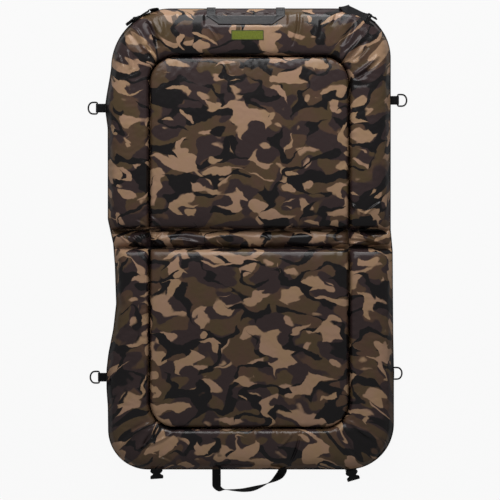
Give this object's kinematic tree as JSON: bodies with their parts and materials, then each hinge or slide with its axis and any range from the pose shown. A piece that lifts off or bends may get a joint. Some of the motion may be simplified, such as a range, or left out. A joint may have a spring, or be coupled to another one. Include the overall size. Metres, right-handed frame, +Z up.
{
  "type": "unhooking mat",
  "caption": "Padded camouflage unhooking mat that folds in half, with a raised rim, side rings, webbing handles and side-release buckle straps.",
  "frame": {"origin": "centre of the fold on the plane of the flat underside, on the fold's base strip", "axes": "+X along the fold towards the right side, +Y towards the end with the label and the folded-back handle, +Z up from the underside to the padded camouflage side"},
  "size_m": [0.7389, 1.1208, 0.0481],
  "materials": {
    "cover_upper_finish": "glossy coated woven cloth printed with a brown and olive camouflage",
    "cover_lower_finish": "glossy coated woven cloth printed with a brown and olive camouflage",
    "base_upper_finish": "plain black coated cloth",
    "base_lower_finish": "plain black coated cloth",
    "foam_centre_upper_finish": "soft closed-cell foam, matt",
    "foam_centre_lower_finish": "soft closed-cell foam, matt",
    "foam_rim_upper_finish": "soft closed-cell foam, matt",
    "foam_rim_lower_finish": "soft closed-cell foam, matt",
    "edge_binding_upper_finish": "black woven binding tape",
    "edge_binding_lower_finish": "black woven binding tape",
    "fold_band_finish": "glossy coated woven cloth printed with a brown and olive camouflage",
    "fold_base_finish": "plain black coated cloth",
    "label_finish": "woven yellow-green label, plain",
    "ring_tab_upper_left_finish": "black woven webbing",
    "ring_tab_upper_right_finish": "black woven webbing",
    "ring_tab_lower_left_finish": "black woven webbing",
    "ring_tab_lower_right_finish": "black woven webbing",
    "d_ring_upper_left_finish": "black coated wire, glossy",
    "d_ring_upper_right_finish": "black coated wire, glossy",
    "d_ring_lower_left_finish": "black coated wire, glossy",
    "d_ring_lower_right_finish": "black coated wire, glossy",
    "handle_upper_finish": "black woven webbing",
    "handle_lower_finish": "black woven webbing",
    "buckle_socket_left_finish": "black moulded plastic",
    "buckle_socket_right_finish": "black moulded plastic",
    "socket_tab_left_finish": "black woven webbing",
    "socket_tab_right_finish": "black woven webbing",
    "strap_right_finish": "black woven webbing",
    "strap_root_left_finish": "black woven webbing",
    "strap_left_finish": "black woven webbing",
    "buckle_prong_right_finish": "black moulded plastic",
    "buckle_prong_left_finish": "black moulded plastic"
  },
  "bodies": {
    "upper_half": {"cover_upper": "cover_upper_finish", "base_upper": "base_upper_finish", "foam_centre_upper": "foam_centre_upper_finish", "foam_rim_upper": "foam_rim_upper_finish", "edge_binding_upper": "edge_binding_upper_finish", "fold_band": "fold_band_finish", "fold_base": "fold_base_finish", "label": "label_finish", "ring_tab_upper_left": "ring_tab_upper_left_finish", "ring_tab_upper_right": "ring_tab_upper_right_finish", "strap_root_left": "strap_root_left_finish"},
    "lower_half": {"cover_lower": "cover_lower_finish", "base_lower": "base_lower_finish", "foam_centre_lower": "foam_centre_lower_finish", "foam_rim_lower": "foam_rim_lower_finish", "edge_binding_lower": "edge_binding_lower_finish", "ring_tab_lower_left": "ring_tab_lower_left_finish", "ring_tab_lower_right": "ring_tab_lower_right_finish", "socket_tab_left": "socket_tab_left_finish", "socket_tab_right": "socket_tab_right_finish"},
    "d_ring_upper_left": {"d_ring_upper_left": "d_ring_upper_left_finish"},
    "d_ring_upper_right": {"d_ring_upper_right": "d_ring_upper_right_finish"},
    "d_ring_lower_left": {"d_ring_lower_left": "d_ring_lower_left_finish"},
    "d_ring_lower_right": {"d_ring_lower_right": "d_ring_lower_right_finish"},
    "handle_upper": {"handle_upper": "handle_upper_finish"},
    "handle_lower": {"handle_lower": "handle_lower_finish"},
    "buckle_socket_left": {"buckle_socket_left": "buckle_socket_left_finish"},
    "buckle_socket_right": {"buckle_socket_right": "buckle_socket_right_finish"},
    "strap_right": {"strap_right": "strap_right_finish"},
    "strap_left": {"strap_left": "strap_left_finish"},
    "buckle_prong_right": {"buckle_prong_right": "buckle_prong_right_finish"},
    "buckle_prong_left": {"buckle_prong_left": "buckle_prong_left_finish"}
  },
  "joints": [
    {"name": "mat_fold", "type": "hinge", "parent": "upper_half", "child": "lower_half", "pos_m": [0, 0, -0.0005], "axis": [1, 0, 0], "range_deg": [0, 180]},
    {"name": "ring_upper_left_swing", "type": "hinge", "parent": "upper_half", "child": "d_ring_upper_left", "pos_m": [-0.35081, 0.302, 0.00335], "axis": [0, 1, 0], "range_deg": [-90, 130]},
    {"name": "ring_upper_right_swing", "type": "hinge", "parent": "upper_half", "child": "d_ring_upper_right", "pos_m": [0.34229, 0.32, 0.00335], "axis": [0, -1, 0], "range_deg": [-90, 130]},
    {"name": "ring_lower_left_swing", "type": "hinge", "parent": "lower_half", "child": "d_ring_lower_left", "pos_m": [-0.3462, -0.319, 0.00335], "axis": [0, 1, 0], "range_deg": [-90, 130]},
    {"name": "ring_lower_right_swing", "type": "hinge", "parent": "lower_half", "child": "d_ring_lower_right", "pos_m": [0.3313, -0.31, 0.00335], "axis": [0, -1, 0], "range_deg": [-90, 50]},
    {"name": "handle_upper_lift", "type": "hinge", "parent": "upper_half", "child": "handle_upper", "pos_m": [-0.0081, 0.5279, 0.00835], "axis": [-1, 0, 0], "range_deg": [0, 115]},
    {"name": "handle_lower_lift", "type": "hinge", "parent": "lower_half", "child": "handle_lower", "pos_m": [0.00045, -0.53155, 0.00835], "axis": [-1, 0, 0], "range_deg": [0, 90]},
    {"name": "socket_left_tilt", "type": "hinge", "parent": "lower_half", "child": "buckle_socket_left", "pos_m": [-0.215, -0.5255, 0.00405], "axis": [-0.9976, -0.0698, 0], "range_deg": [-80, 12]},
    {"name": "socket_right_tilt", "type": "hinge", "parent": "lower_half", "child": "buckle_socket_right", "pos_m": [0.2335, -0.52979, 0.00405], "axis": [-0.9613, -0.2756, 0], "range_deg": [-80, 28]},
    {"name": "strap_right_lift", "type": "hinge", "parent": "upper_half", "child": "strap_right", "pos_m": [0.216, 0.5267, 0.0086], "axis": [-1, 0, 0], "range_deg": [0, 100]},
    {"name": "strap_left_swing", "type": "hinge", "parent": "upper_half", "child": "strap_left", "pos_m": [-0.22983, 0.52492, 0.022], "axis": [0, 0, -1], "range_deg": [0, 90]},
    {"name": "prong_right_tilt", "type": "hinge", "parent": "strap_right", "child": "buckle_prong_right", "pos_m": [0.26789, 0.50453, 0.038], "axis": [-0.4052, -0.8768, 0.2588], "range_deg": [0, 80]},
    {"name": "prong_left_tilt", "type": "hinge", "parent": "strap_left", "child": "buckle_prong_left", "pos_m": [-0.26424, 0.50635, 0.01345], "axis": [0, 0, -1], "range_deg": [0, 80]}
  ]
}
